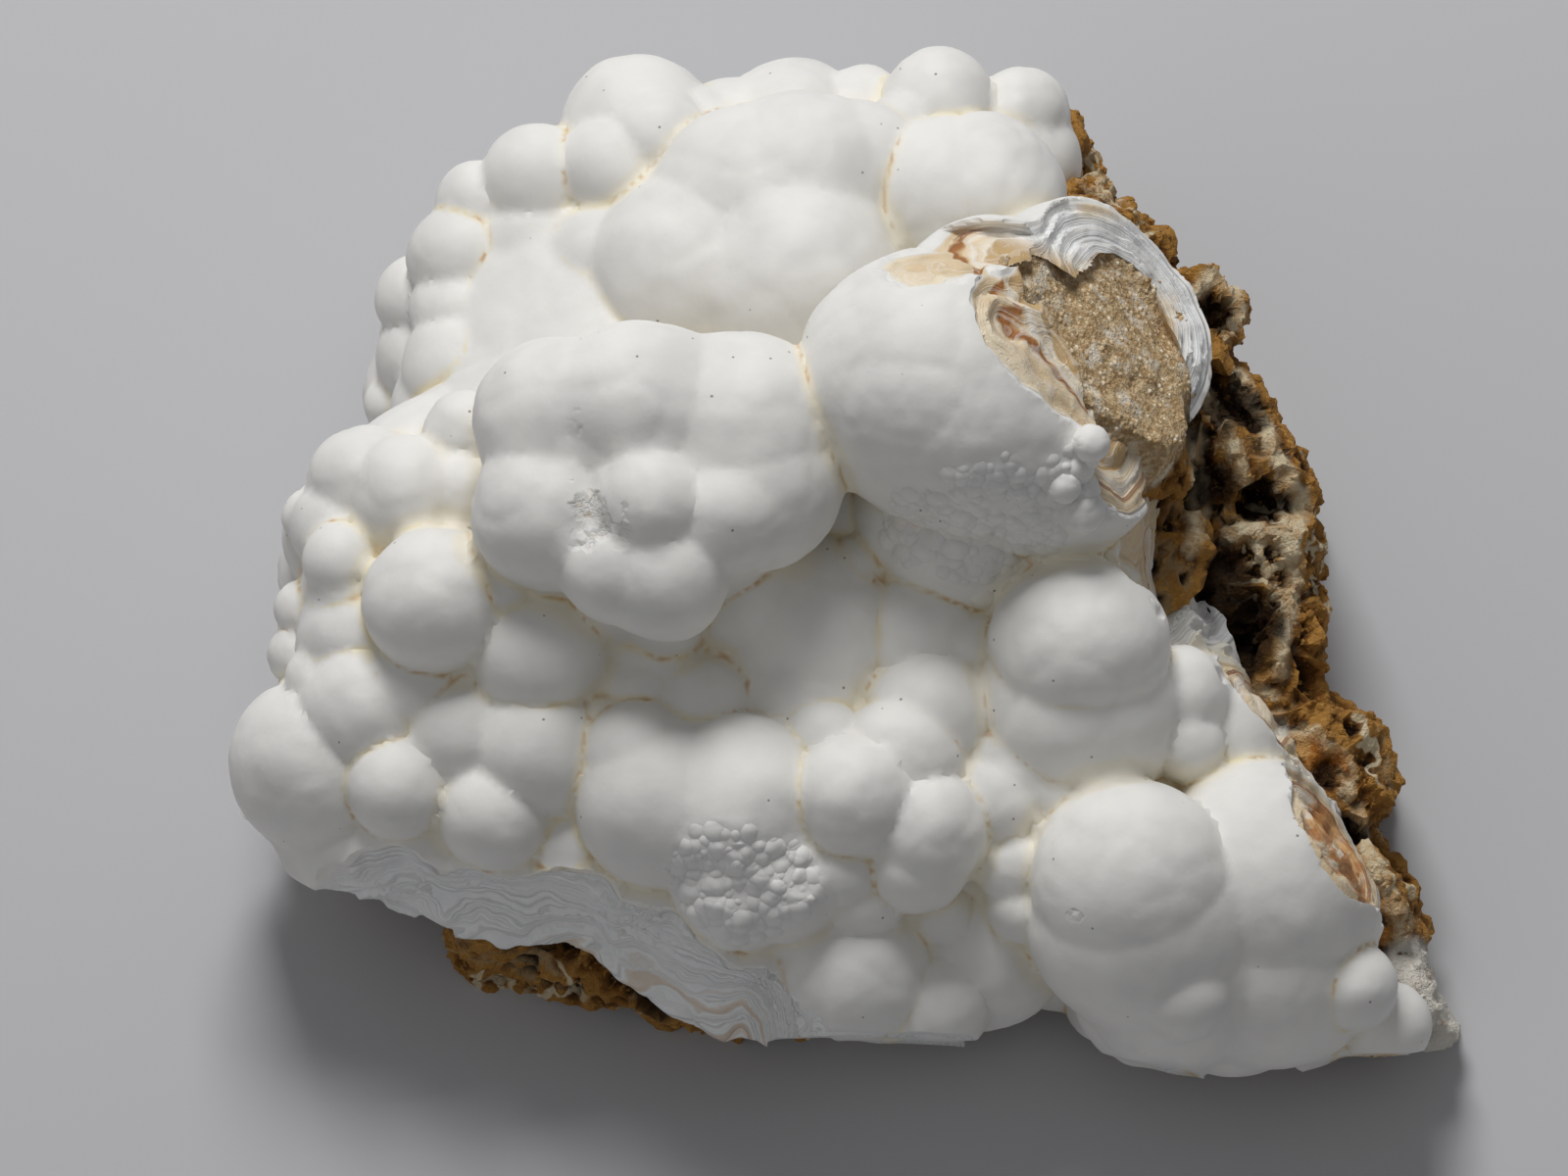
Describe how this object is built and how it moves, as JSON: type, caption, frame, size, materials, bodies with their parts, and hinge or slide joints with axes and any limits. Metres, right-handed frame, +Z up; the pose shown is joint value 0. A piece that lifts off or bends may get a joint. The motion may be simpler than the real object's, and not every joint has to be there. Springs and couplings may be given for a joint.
{
  "type": "hydrozincite specimen",
  "caption": "Hand specimen of hydrozincite: a white lumpy botryoidal crust on a porous brown limonite matrix that is cut flat underneath.",
  "frame": {"origin": "middle of the specimen's plan, on the flat cut that it rests on", "axes": "+Z up out of the resting cut, +Y towards the grown back flank, +X towards the broken right edge"},
  "size_m": [0.125, 0.1104, 0.0662],
  "materials": {
    "hydrozincite": null,
    "limonite": null
  },
  "bodies": {
    "root": {"hydrozincite_crust": "hydrozincite", "limonite_matrix": "limonite"}
  },
  "joints": []
}
